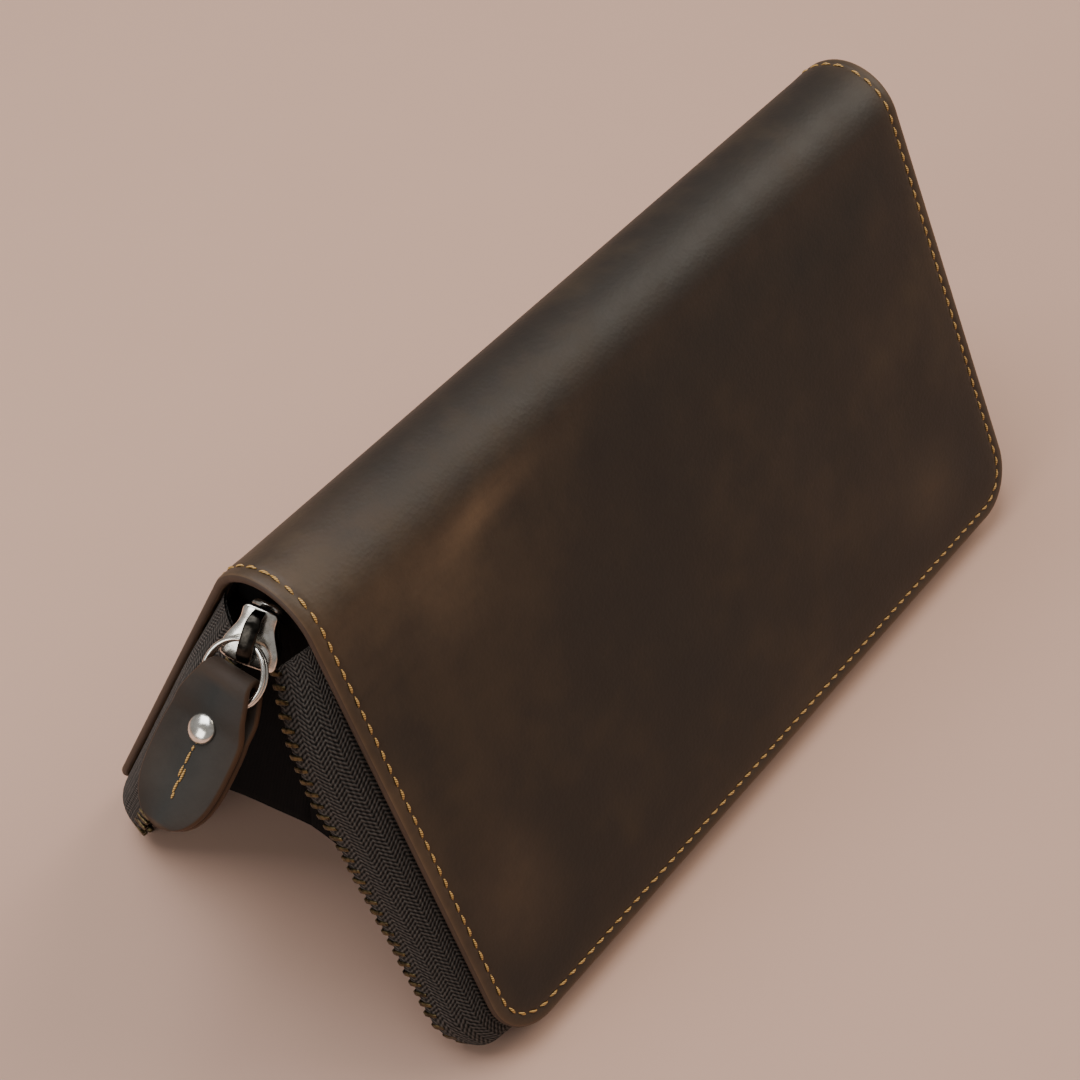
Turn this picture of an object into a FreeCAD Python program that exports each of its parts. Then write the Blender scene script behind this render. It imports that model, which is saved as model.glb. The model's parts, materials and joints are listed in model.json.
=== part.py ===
import FreeCAD, Part
import math
import os

import Sketcher
from FreeCAD import Placement, Rotation, Vector

# Driving sizes, in millimetres and degrees.  Everything hangs from the centre line
# of the spine arch: a depth counts outwards from the plane where the two halves
# close, a drop counts downwards from the arch centre, and a reach counts along the
# spine from the middle.
SIZES = {
    # where the arch centre stands, and how far each half is swung open
    "axis_height": 94.45,
    "centre_shift": 16.14,
    "half_angle": 25.0,
    # leather cover
    "cover_length": 200.0,
    "seam_reach": 97.0,
    "cover_reach": 100.0,
    "cover_drop": 104.0,
    "cover_corner": 12.5,
    "leather": 2.0,
    "arch_inner": 11.5,
    "arch_outer": 13.5,
    "edge_round": 0.6,
    # lockstitched seam
    "seam_outer_reach": 97.4,
    "seam_outer_drop": 101.4,
    "seam_outer_corner": 9.9,
    "seam_inner_reach": 96.6,
    "seam_inner_drop": 100.6,
    "seam_inner_corner": 9.1,
    "seam_width": 0.8,
    "seam_depth": 13.0,
    "seam_bead": 0.5,
    # fabric lining
    "lining_reach": 96.0,
    "lining_length": 192.0,
    "lining_drop": 100.0,
    "lining_corner": 8.5,
    "lining_depth": 11.0,
    "lining_cloth": 0.5,
    "overshoot": 3.0,
    # zip tape: a wall from the leather's inner face to the closing plane
    "tape_root_reach": 97.5,
    "tape_root_drop": 101.5,
    "tape_edge_reach": 101.5,
    "tape_edge_drop": 103.5,
    "tape_root_reach_inside": 96.8,
    "tape_root_drop_inside": 100.8,
    "tape_edge_reach_inside": 100.8,
    "tape_edge_drop_inside": 102.8,
    "tape_corner": 11.5,
    "tape_corner_inside": 10.8,
    "tape_edge_depth": 0.4,
    "slider_bay_drop": 6.0,
    "slider_bay_depth": 5.6,
    "bay_length": 220.0,
    # metal teeth
    "tooth_pitch": 2.8,
    "tooth_width": 1.15,
    "tooth_length": 4.4,
    "tooth_thickness": 1.4,
    "tooth_bite": 0.8,
    # cloth closing the space under each end of the arch, and the gussets below it
    "end_cloth_reach": 95.2,
    "end_cloth": 0.5,
    "end_cloth_radius": 10.7,
    "end_cloth_dip": 0.5,
    "gusset_top_half": 11.9,
    "gusset_top_dip": 1.0,
    "gusset_side_half": 41.0,
    "gusset_side_dip": 66.0,
    "gusset_peak_half": 14.0,
    "gusset_peak_dip": 60.5,
    # metal stop that joins the tape ends at the far end of the spine
    "stop_reach": 99.6,
    "stop_long": 3.0,
    "stop_half": 2.4,
    "stop_top": 1.2,
    "stop_bottom": 4.4,
    # slider
    "slider_reach": 100.0,
    "slider_lift": 1.5,
    "slider_tilt": 12.0,
    "slider_back": 5.5,
    "slider_mouth": 5.5,
    "slider_back_half": 3.3,
    "slider_mouth_half": 4.6,
    "slider_shoulder": 2.2,
    "slider_plate": 1.0,
    "slider_gap_half": 1.4,
    "slider_gap": 2.8,
    "slider_corner": 1.4,
    "flange_inner": 3.8,
    "flange_outer": 4.55,
    "flange_low": 4.2,
    "flange_high": 1.8,
    "flange_height": 0.8,
    "wedge_half": 0.9,
    "wedge_low": 5.0,
    "wedge_high": 1.2,
    "crown_face": 2.4,
    "crown_hollow": 5.6,
    "crown_out": 6.5,
    "crown_top": 5.2,
    "crown_top_inside": 3.9,
    "crown_bottom": 5.2,
    "crown_bottom_inside": 4.2,
    "crown_width": 2.4,
    "crown_round": 2.4,
    "crown_round_inside": 1.3,
    # split ring, hung in the crown
    "hang_out": 4.0,
    "hang_drop": 0.8,
    "pull_swing": 47.7,
    "ring_radius": 6.5,
    "ring_wire": 0.5,
    "ring_half_step": 0.45,
    # folded leather tab, measured down from the crown
    "tab_top": 5.5,
    "tab_neck_half": 5.4,
    "tab_neck_drop": 9.0,
    "tab_half": 8.8,
    "tab_shoulder": 17.0,
    "tab_waist": 31.0,
    "tab_end": 40.0,
    "tab_end_half": 7.6,
    "tab_end_round": 6.6,
    "tab_thickness": 6.2,
    "tab_loop_half": 3.1,
    "tab_loop_round": 2.6,
    "tab_hollow_half": 1.35,
    "tab_hollow_top": 7.3,
    "tab_hollow_low": 14.4,
    "tab_slit_half": 0.05,
    "tab_slit_top": 17.4,
    "tab_slit_low": 45.0,
    "tab_flat_half": 1.8,
    "tab_flat_thickness": 3.6,
    "tab_flat_top": 17.8,
    "tab_taper_top": 14.0,
    "tab_clear_half": 6.0,
    # rivet and the short run of thread on the tab
    "rivet_drop": 21.0,
    "rivet_radius": 3.0,
    "rivet_height": 1.5,
    "rivet_dome": 1.2,
    "rivet_shank": 1.1,
    "rivet_foot": 2.4,
    "rivet_foot_height": 0.6,
    "tab_thread_top": 25.0,
    "tab_thread_low": 35.0,
    "tab_thread_left": 1.5,
    "tab_thread_right": 0.7,
    "tab_thread_bead": 0.4,
    # card leaves sewn on each lining
    "leaf_reach": 92.0,
    "leaf_top": 6.0,
    "leaf_corner": 5.0,
    "leaf_cloth": 0.9,
    "leaf_one_depth": 10.1,
    "leaf_one_drop": 95.0,
    "leaf_two_depth": 9.2,
    "leaf_two_drop": 81.0,
    "leaf_three_depth": 8.3,
    "leaf_three_drop": 67.0,
    # coin pocket hung from the spine, with its own zip along the mouth
    "coin_reach": 84.0,
    "coin_top": 8.0,
    "coin_drop": 62.0,
    "coin_depth": 1.0,
    "coin_far_depth": 1.8,
    "coin_length": 164.0,
    "coin_slider_length": 8.0,
    "coin_pull_length": 4.0,
    "coin_cloth": 0.8,
    "coin_tape_half": 0.3,
    "coin_tape_top": 54.0,
    "coin_tape_low": 66.5,
    "coin_chain_half": 1.2,
    "coin_chain_low": 68.7,
    "coin_slider_place": 70.0,
    "coin_slider_gap": 1.5,
    "coin_slider_half": 2.4,
    "coin_slider_top": 66.0,
    "coin_slider_low": 69.9,
    "coin_slider_roof": 69.0,
    "coin_pull_place": 72.0,
    "coin_pull_half": 0.5,
    "coin_pull_low": 75.0,
}

doc = FreeCAD.newDocument("zip_around_wallet")
sheet = doc.addObject("Spreadsheet::Sheet", "dims")
for row, (name, value) in enumerate(SIZES.items(), start=1):
    sheet.set(f"A{row}", name)
    sheet.set(f"B{row}", str(value))
    sheet.setAlias(f"B{row}", name)
last = len(SIZES)
sheet.set(f"A{last + 1}", "opening_sine")
sheet.set(f"B{last + 1}", "=sin(half_angle * 1 deg)")
sheet.setAlias(f"B{last + 1}", "opening_sine")
doc.recompute()


def size(name):
    """The sheet's value for a name; a leading minus turns its sign."""
    if name.startswith("-"):
        return -float(sheet.get(name[1:]))
    return float(sheet.get(name))


def bound(name):
    """The expression that ties a property to a sheet value."""
    return "-dims." + name[1:] if name.startswith("-") else "dims." + name


NODES = []


def node(label, thing, placement):
    """Name a finished piece and put it where it belongs."""
    thing.Label = label
    thing.Placement = placement
    NODES.append(thing)
    return thing


def new_body(label):
    body = doc.addObject("PartDesign::Body", "body_" + label)
    return body


def sketch_on(body, role, offset=None):
    """An empty sketch on one of the body's own origin planes, moved out by a sheet value."""
    sketch = body.newObject("Sketcher::SketchObject", "sketch")
    plane = next(f for f in body.Origin.OriginFeatures if f.Role == role)
    sketch.AttachmentSupport = [(plane, "")]
    sketch.MapMode = "FlatFace"
    if offset:
        sketch.setExpression("AttachmentOffset.Base.z", bound(offset))
    return sketch


def polygon(sketch, corners):
    """A closed polygon whose corners are pairs of sheet names; None puts one on an axis."""
    points = [Vector(size(x) if x else 0, size(y) if y else 0, 0) for x, y in corners]
    first = sketch.GeometryCount
    count = len(points)
    for i in range(count):
        sketch.addGeometry(Part.LineSegment(points[i], points[(i + 1) % count]), False)
    sketch_rule = sketch.addConstraint
    for i in range(count):
        following = first + (i + 1) % count
        sketch_rule(Sketcher.Constraint("Coincident", first + i, 2, following, 1))
    for i, (x, y) in enumerate(corners):
        for kind, axis, name, value in (
            ("DistanceX", -2, x, points[i].x),
            ("DistanceY", -1, y, points[i].y),
        ):
            if name is None:
                sketch_rule(Sketcher.Constraint("PointOnObject", first + i, 1, axis))
                continue
            rule = sketch_rule(Sketcher.Constraint(kind, -1, 1, first + i, 1, value))
            sketch.setExpression(f"Constraints[{rule}]", bound(name))


def circle(sketch, radius, drop):
    """A circle on the sketch's upright axis, below its origin."""
    centre = Vector(0, -size(drop), 0) if drop else Vector(0, 0, 0)
    sketch.addGeometry(Part.Circle(centre, Vector(0, 0, 1), size(radius)), False)
    rule = sketch.addConstraint(Sketcher.Constraint("Radius", 0, size(radius)))
    sketch.setExpression(f"Constraints[{rule}]", bound(radius))
    sketch.addConstraint(Sketcher.Constraint("PointOnObject", 0, 3, -2))
    if drop:
        low = sketch.addConstraint(Sketcher.Constraint("DistanceY", 0, 3, -1, 1, size(drop)))
        sketch.setExpression(f"Constraints[{low}]", bound(drop))


def pad(body, sketch, length, both_ways=False, reverse=False):
    feature = body.newObject("PartDesign::Pad", "pad")
    feature.Profile = sketch
    feature.setExpression("Length", bound(length))
    if both_ways:
        feature.SideType = "Symmetric"
    feature.Reversed = reverse
    doc.recompute()
    return feature


def cut_through(body, sketch):
    """Cut right through the body, to both sides of the sketch."""
    before = body.Shape.Volume
    feature = body.newObject("PartDesign::Pocket", "pocket")
    feature.Profile = sketch
    feature.Type = "ThroughAll"
    feature.SideType = "Symmetric"
    doc.recompute()
    if not body.Shape.Volume < before - 1e-6:
        raise ValueError(body.Name + ": a cut took nothing away")
    return feature


def fillet(body, radius, chosen):
    """Round the edges of the body's tip that pass a test, by a sheet value."""
    tip = body.Tip
    names = [f"Edge{i}" for i, e in enumerate(tip.Shape.Edges, start=1) if chosen(e)]
    feature = body.newObject("PartDesign::Fillet", "fillet")
    feature.Base = (tip, names)
    feature.setExpression("Radius", bound(radius))
    doc.recompute()
    return feature


def low_corner(edge):
    """Is this one of the edges that cross a panel at its two free corners?"""
    start, end = edge.Vertexes[0].Point, edge.Vertexes[-1].Point
    across = abs(start.y - end.y) > 0.85 * edge.Length
    return across and max(start.z, end.z) < -size("leaf_top") - 1


def panel(label, reach, drop, corner, depth, thickness, top=None):
    """A flat piece hanging under the arch, with its two free corners rounded."""
    body = new_body(label)
    sketch = sketch_on(body, "XZ_Plane", depth)
    low = "-" + drop
    high = "-" + top if top else None
    polygon(sketch, [("-" + reach, high), (reach, high), (reach, low), ("-" + reach, low)])
    pad(body, sketch, thickness)
    fillet(body, corner, low_corner)
    return body


def cut(label, base, tool):
    """One piece less another, as a boolean of the two."""
    feature = doc.addObject("Part::Cut", label)
    feature.Base = base
    feature.Tool = tool
    doc.recompute()
    if not 0 < feature.Shape.Volume < base.Shape.Volume - 1e-6:
        raise ValueError(label + ": a cut took nothing away")
    return feature


def seam(label):
    """The thread let into a panel: a narrow band round its three free sides."""
    outer = panel(label + "_outer", "seam_outer_reach", "seam_outer_drop", "seam_outer_corner",
                  "seam_depth", "seam_bead")
    inner = panel(label + "_inner", "seam_inner_reach", "seam_inner_drop", "seam_inner_corner",
                  "seam_depth", "seam_bead")
    return cut(label, outer, inner)


def round_outline(sketch, reach, drop, corner, top):
    """A panel's outline with its two lower corners drawn as tangent arcs."""
    half, low, radius = size(reach), size(drop), size(corner)
    high = size(top) if top else 0
    up = Vector(0, 0, 1)
    right = Part.Circle(Vector(half - radius, radius - low, 0), up, radius)
    left = Part.Circle(Vector(radius - half, radius - low, 0), up, radius)
    for shape in (
        Part.LineSegment(Vector(-half, high, 0), Vector(half, high, 0)),
        Part.LineSegment(Vector(half, high, 0), Vector(half, radius - low, 0)),
        Part.ArcOfCircle(right, -math.pi / 2, 0),
        Part.LineSegment(Vector(half - radius, -low, 0), Vector(radius - half, -low, 0)),
        Part.ArcOfCircle(left, math.pi, 3 * math.pi / 2),
        Part.LineSegment(Vector(-half, radius - low, 0), Vector(-half, high, 0)),
    ):
        sketch.addGeometry(shape, False)
    for rule in (
        ("Coincident", 0, 2, 1, 1),
        ("Tangent", 1, 2, 2, 2),
        ("Tangent", 3, 1, 2, 1),
        ("Tangent", 3, 2, 4, 2),
        ("Tangent", 5, 1, 4, 1),
        ("Coincident", 5, 2, 0, 1),
        ("Horizontal", 0),
        ("Horizontal", 3),
        ("Vertical", 1),
        ("Vertical", 5),
        ("Equal", 2, 4),
    ):
        sketch.addConstraint(Sketcher.Constraint(*rule))
    for kind, points, name in (
        ("DistanceX", (-1, 1, 0, 2), reach),
        ("DistanceX", (0, 1, -1, 1), reach),
        ("DistanceY", (3, 1, -1, 1), drop),
        ("Radius", (2,), corner),
    ):
        rule = sketch.addConstraint(Sketcher.Constraint(kind, *points, size(name)))
        sketch.setExpression(f"Constraints[{rule}]", bound(name))
    if top:
        rule = sketch.addConstraint(Sketcher.Constraint("DistanceY", -1, 1, 0, 1, high))
        sketch.setExpression(f"Constraints[{rule}]", bound(top))
    else:
        sketch.addConstraint(Sketcher.Constraint("PointOnObject", 0, 1, -1))


def tub(label, root, edge, corner, top):
    """A solid that flares from the leather to the closing plane."""
    body = new_body(label)
    outlines = []
    for (reach, drop), depth in ((root, "arch_inner"), (edge, "tape_edge_depth")):
        outline = sketch_on(body, "XZ_Plane", depth)
        round_outline(outline, reach, drop, corner, top)
        outlines.append(outline)
    loft = body.newObject("PartDesign::AdditiveLoft", "loft")
    loft.Profile = outlines[0]
    loft.Sections = outlines[1:]
    loft.Ruled = True
    doc.recompute()
    return body


def tape(label):
    """A zip tape: a flared wall round three sides, with a bay for the slider at each end."""
    outer = tub(
        label + "_outer",
        ("tape_root_reach", "tape_root_drop"),
        ("tape_edge_reach", "tape_edge_drop"),
        "tape_corner",
        None,
    )
    inner = tub(
        label + "_inner",
        ("tape_root_reach_inside", "tape_root_drop_inside"),
        ("tape_edge_reach_inside", "tape_edge_drop_inside"),
        "tape_corner_inside",
        "overshoot",
    )
    bay = slab(
        label + "_bay",
        "YZ_Plane",
        [
            ("-slider_bay_depth", "overshoot"),
            ("overshoot", "overshoot"),
            ("overshoot", "-slider_bay_drop"),
            ("-slider_bay_depth", "-slider_bay_drop"),
        ],
        "bay_length",
        both_ways=True,
    )
    return cut(label, cut(label + "_wall", outer, inner), bay)


def along_chain(distance):
    """Point, heading and flare of the tape's edge, a distance along it from the near end."""
    reach = size("tape_edge_reach") - 0.35
    drop = size("tape_edge_drop") - 0.35
    corner = size("tape_corner") - 0.35
    side = drop - corner - size("slider_bay_drop")
    bend = corner * math.pi / 2
    bottom = 2 * (reach - corner)
    end_flare = math.atan2(
        size("tape_edge_reach") - size("tape_root_reach"), size("arch_inner") - size("tape_edge_depth")
    )
    low_flare = math.atan2(
        size("tape_edge_drop") - size("tape_root_drop"), size("arch_inner") - size("tape_edge_depth")
    )
    mirrored = distance > side + bend + bottom / 2
    if mirrored:
        distance = 2 * (side + bend) + bottom - distance
    if distance < side:
        point = (-reach, -size("slider_bay_drop") - distance)
        turn = 0.0
    elif distance < side + bend:
        turn = (distance - side) / corner
        point = (
            -reach + corner * (1 - math.cos(turn)),
            -drop + corner * (1 - math.sin(turn)),
        )
    else:
        turn = math.pi / 2
        point = (-reach + corner + distance - side - bend, -drop)
    outward = (-math.cos(turn), -math.sin(turn))
    flare = end_flare * math.cos(turn) ** 2 + low_flare * math.sin(turn) ** 2
    if mirrored:
        return (-point[0], point[1]), (-outward[0], outward[1]), flare
    return point, outward, flare


def teeth(label, start):
    """A row of separate metal teeth clamped on the tape's edge."""
    reach = size("tape_edge_reach") - size("tape_corner")
    side = size("tape_edge_drop") - size("tape_corner") - size("slider_bay_drop")
    total = 2 * side + 2 * reach + math.pi * (size("tape_corner") - 0.35)
    row = []
    distance = start
    while distance < total - size("tooth_width"):
        (x, z), (out_x, out_z), flare = along_chain(distance)
        away = Vector(out_x * math.sin(flare), math.cos(flare), out_z * math.sin(flare))
        normal = Vector(out_x * math.cos(flare), -math.sin(flare), out_z * math.cos(flare))
        tooth = Part.makeBox(
            size("tooth_width"),
            size("tooth_thickness"),
            size("tooth_length"),
            Vector(-size("tooth_width") / 2, -size("tooth_thickness") / 2, -size("tooth_length")),
        )
        tooth = tooth.makeChamfer(0.25, [e for e in tooth.Edges if min(v.Z for v in e.Vertexes) > -0.01])
        heading = normal.cross(away)
        turn = FreeCAD.Matrix(
            heading.x, normal.x, away.x, 0, heading.y, normal.y, away.y, 0,
            heading.z, normal.z, away.z, 0, 0, 0, 0, 1,
        )
        tip = Vector(x, -size("tape_edge_depth"), z)
        tip = tip + away * (size("tape_edge_depth") + size("tooth_bite"))
        tooth.Placement = Placement(tip, Rotation(turn))
        row.append(tooth)
        distance += size("tooth_pitch")
    feature = doc.addObject("Part::Feature", label)
    feature.Shape = Part.makeCompound(row)
    return feature


def arch(label, inner, outer, length, reach=None):
    """A strip that bends over the spine, from one swung-open half to the other."""
    body = new_body(label)
    sketch = sketch_on(body, "YZ_Plane", reach)
    opening = math.radians(size("half_angle"))
    for radius in (outer, inner):
        ring = Part.Circle(Vector(0, 0, 0), Vector(0, 0, 1), size(radius))
        sketch.addGeometry(Part.ArcOfCircle(ring, opening, math.pi - opening), False)
    for turn in (opening, math.pi - opening):
        ray = Vector(math.cos(turn), math.sin(turn), 0)
        sketch.addGeometry(Part.LineSegment(ray * size(inner), ray * size(outer)), False)
    rules = [
        ("Coincident", 0, 3, -1, 1),
        ("Coincident", 1, 3, -1, 1),
        ("Coincident", 2, 1, 1, 1),
        ("Coincident", 2, 2, 0, 1),
        ("Coincident", 3, 1, 1, 2),
        ("Coincident", 3, 2, 0, 2),
        ("Symmetric", 0, 1, 0, 2, -2),
        ("Symmetric", 1, 1, 1, 2, -2),
    ]
    for rule in rules:
        sketch.addConstraint(Sketcher.Constraint(*rule))
    for index, radius in ((0, outer), (1, inner)):
        held = sketch.addConstraint(Sketcher.Constraint("Radius", index, size(radius)))
        sketch.setExpression(f"Constraints[{held}]", bound(radius))
        rise = size(radius) * math.sin(opening)
        low = sketch.addConstraint(Sketcher.Constraint("DistanceY", -1, 1, index, 1, rise))
        sketch.setExpression(f"Constraints[{low}]", bound(radius) + " * dims.opening_sine")
    pad(body, sketch, length, both_ways=True)
    return body


def slab(label, role, corners, thickness, offset=None, both_ways=False, reverse=False):
    """A prism from one polygon."""
    body = new_body(label)
    sketch = sketch_on(body, role, offset)
    polygon(sketch, corners)
    pad(body, sketch, thickness, both_ways=both_ways, reverse=reverse)
    return body


axis = Vector(size("centre_shift"), 0, size("axis_height"))
SPINE = Placement(axis, Rotation())
FRONT = Placement(axis, Rotation(Vector(1, 0, 0), -size("half_angle")))
BACK = Placement(axis, Rotation(Vector(1, 0, 0), size("half_angle"))).multiply(
    Placement(Vector(0, 0, 0), Rotation(Vector(0, 0, 1), 180))
)

# The two halves are built alike: cover, seam, lining, zip tape, teeth, card leaves.
for side, placement, start in (("front", FRONT, 0.6), ("back", BACK, 2.0)):
    cover = panel(side + "_cover", "cover_reach", "cover_drop", "cover_corner", "arch_inner", "leather")
    outside = -size("arch_outer")
    fillet(
        cover,
        "edge_round",
        lambda e: all(abs(v.Y - outside) < 1e-6 for v in e.Vertexes)
        and min(v.Z for v in e.Vertexes) < -1,
    )
    node(side + "_cover", cut(side + "_cover", cover, seam(side + "_groove")), placement)
    node(side + "_seam_thread", seam(side + "_seam_thread"), placement)
    node(
        side + "_lining",
        panel(side + "_lining", "lining_reach", "lining_drop", "lining_corner", "lining_depth",
              "lining_cloth"),
        placement,
    )
    node(side + "_zip_tape", tape(side + "_zip_tape"), placement)
    node(side + "_zip_teeth", teeth(side + "_zip_teeth", start), placement)
    for number in ("one", "two", "three"):
        leaf = panel(
            f"{side}_card_leaf_{number}",
            "leaf_reach",
            f"leaf_{number}_drop",
            "leaf_corner",
            f"leaf_{number}_depth",
            "leaf_cloth",
            top="leaf_top",
        )
        node(f"{side}_card_leaf_{number}", leaf, placement)

# The spine carries the leather arch, its lining and the two ends of the seam.
spine = arch("spine_cover", "arch_inner", "arch_outer", "cover_length")
for end, reach in (("near", "-seam_reach"), ("far", "seam_reach")):
    groove = arch(end + "_groove", "seam_depth", "arch_outer", "seam_width", reach)
    spine = cut(end + "_grooved_spine", spine, groove)
    thread = arch(end + "_thread", "seam_depth", "arch_outer", "seam_width", reach)
    node(end + "_spine_thread", thread, SPINE)
node("spine_cover", spine, SPINE)
node("spine_lining", arch("spine_lining", "lining_depth", "arch_inner", "lining_length"), SPINE)

# Black cloth closes each end: an end cloth under the arch and a gusset below it,
# whose free edge is arched.
for end, reach in (("near", "-end_cloth_reach"), ("far", "end_cloth_reach")):
    label = end + "_end_cloth"
    cloth = new_body(label)
    outline = sketch_on(cloth, "YZ_Plane", reach)
    circle(outline, "end_cloth_radius", None)
    pad(cloth, outline, "end_cloth", both_ways=True)
    trim = sketch_on(cloth, "YZ_Plane")
    polygon(
        trim,
        [
            ("-cover_corner", "-end_cloth_dip"),
            ("cover_corner", "-end_cloth_dip"),
            ("cover_corner", "-cover_corner"),
            ("-cover_corner", "-cover_corner"),
        ],
    )
    cut_through(cloth, trim)
    node(label, cloth, SPINE)
    gusset = slab(
        end + "_gusset",
        "YZ_Plane",
        [
            ("-gusset_top_half", "-gusset_top_dip"),
            ("gusset_top_half", "-gusset_top_dip"),
            ("gusset_side_half", "-gusset_side_dip"),
            ("gusset_peak_half", "-gusset_peak_dip"),
            ("-gusset_peak_half", "-gusset_peak_dip"),
            ("-gusset_side_half", "-gusset_side_dip"),
        ],
        "end_cloth",
        offset=reach,
        both_ways=True,
    )
    node(end + "_gusset", gusset, SPINE)
stop = slab(
    "zip_end_stop",
    "YZ_Plane",
    [
        ("-stop_half", "-stop_top"),
        ("stop_half", "-stop_top"),
        ("stop_half", "-stop_bottom"),
        ("-stop_half", "-stop_bottom"),
    ],
    "stop_long",
    offset="stop_reach",
)
node("zip_end_stop", stop, SPINE)

# Coin pocket: two leaves hung from the spine, closed by a zip along their mouth.
for label, depth in (("coin_front_leaf", "coin_depth"), ("coin_back_leaf", "-coin_far_depth")):
    leaf = slab(
        label,
        "XZ_Plane",
        [
            ("-coin_reach", "coin_top"),
            ("coin_reach", "coin_top"),
            ("coin_reach", "-coin_drop"),
            ("-coin_reach", "-coin_drop"),
        ],
        "coin_cloth",
        offset=depth,
    )
    node(label, leaf, SPINE)
for label, half, top, low in (
    ("coin_zip_tape", "coin_tape_half", "coin_tape_top", "coin_tape_low"),
    ("coin_zip_chain", "coin_chain_half", "coin_tape_low", "coin_chain_low"),
):
    strip = slab(
        label,
        "YZ_Plane",
        [("-" + half, "-" + top), (half, "-" + top), (half, "-" + low), ("-" + half, "-" + low)],
        "coin_length",
        both_ways=True,
    )
    node(label, strip, SPINE)
channel = slab(
    "coin_slider",
    "YZ_Plane",
    [
        ("-coin_slider_half", "-coin_slider_top"),
        ("-coin_slider_gap", "-coin_slider_top"),
        ("-coin_slider_gap", "-coin_slider_roof"),
        ("coin_slider_gap", "-coin_slider_roof"),
        ("coin_slider_gap", "-coin_slider_top"),
        ("coin_slider_half", "-coin_slider_top"),
        ("coin_slider_half", "-coin_slider_low"),
        ("-coin_slider_half", "-coin_slider_low"),
    ],
    "coin_slider_length",
    offset="coin_slider_place",
)
node("coin_slider", channel, SPINE)
pull = slab(
    "coin_pull",
    "YZ_Plane",
    [
        ("-coin_pull_half", "-coin_slider_low"),
        ("coin_pull_half", "-coin_slider_low"),
        ("coin_pull_half", "-coin_pull_low"),
        ("-coin_pull_half", "-coin_pull_low"),
    ],
    "coin_pull_length",
    offset="coin_pull_place",
)
node("coin_pull", pull, SPINE)

# Slider: two plates joined by a wedge at the mouth, with flanges that steer the teeth.
# Its own frame stands on the chain, length upwards, outer plate towards minus X.
SLIDER = Placement(
    axis + Vector(-size("slider_reach"), 0, size("slider_lift")),
    Rotation(Vector(0, 1, 0), size("slider_tilt")),
)
slider = new_body("slider_body")
plate = [
    ("-slider_back_half", "slider_back"),
    ("slider_back_half", "slider_back"),
    ("slider_mouth_half", "slider_shoulder"),
    ("slider_mouth_half", "-slider_mouth"),
    ("-slider_mouth_half", "-slider_mouth"),
    ("-slider_mouth_half", "slider_shoulder"),
]
wedge = sketch_on(slider, "YZ_Plane", "-slider_gap_half")
polygon(
    wedge,
    [
        (None, "-wedge_high"),
        ("-wedge_half", "-wedge_low"),
        ("wedge_half", "-wedge_low"),
    ],
)
pad(slider, wedge, "slider_gap")
for height, away in (("-slider_gap_half", True), ("slider_gap_half", False)):
    outline = sketch_on(slider, "YZ_Plane", height)
    polygon(outline, plate)
    pad(slider, outline, "slider_plate", reverse=away)
    for inner, outer in (("flange_inner", "flange_outer"), ("-flange_inner", "-flange_outer")):
        flange = sketch_on(slider, "YZ_Plane", height)
        polygon(
            flange,
            [
                (inner, "-flange_low"),
                (outer, "-flange_low"),
                (outer, "flange_high"),
                (inner, "flange_high"),
            ],
        )
        pad(slider, flange, "flange_height", reverse=not away)
fillet(
    slider,
    "slider_corner",
    lambda e: abs(e.Length - size("slider_plate")) < 1e-6
    and abs(e.Vertexes[0].X - e.Vertexes[-1].X) > 0.9 * e.Length
    and min(abs(v.X) for v in e.Vertexes) > size("slider_gap_half") - 1e-6,
)
node("slider_body", slider, SLIDER)

# Crown: the bridge on the outer plate that the ring hangs in.
crown = slab(
    "slider_crown",
    "XZ_Plane",
    [
        ("-crown_face", "crown_top"),
        ("-crown_out", "crown_top"),
        ("-crown_out", "-crown_bottom"),
        ("-crown_face", "-crown_bottom"),
        ("-crown_face", "-crown_bottom_inside"),
        ("-crown_hollow", "-crown_bottom_inside"),
        ("-crown_hollow", "crown_top_inside"),
        ("-crown_face", "crown_top_inside"),
    ],
    "crown_width",
    both_ways=True,
)
for radius, out in (("crown_round", "crown_out"), ("crown_round_inside", "crown_hollow")):
    level = -size(out)
    fillet(
        crown,
        radius,
        lambda e: all(abs(v.X - level) < 1e-6 for v in e.Vertexes)
        and abs(abs(e.Vertexes[0].Y - e.Vertexes[-1].Y) - size("crown_width")) < 1e-6,
    )
node("slider_crown", crown, SLIDER)

# The split ring and the tab share a frame at the hollow of the crown: the pull
# hangs down it, and the ring lies in its YZ plane.
hang = SLIDER.multVec(Vector(-size("hang_out"), 0, -size("hang_drop")))
PULL = Placement(hang, Rotation(Vector(0, 1, 0), size("pull_swing")))
turns = []
for step in (-1, 1):
    turn = doc.addObject("Part::Torus", "ring_turn")
    turn.setExpression("Radius1", bound("ring_radius"))
    turn.setExpression("Radius2", bound("ring_wire"))
    turn.Placement = Placement(
        Vector(step * size("ring_half_step"), 0, -size("ring_radius")),
        Rotation(Vector(0, 1, 0), 90),
    )
    turns.append(turn)
ring = doc.addObject("Part::MultiFuse", "ring")
ring.Shapes = turns
node("split_ring", ring, PULL)

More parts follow.
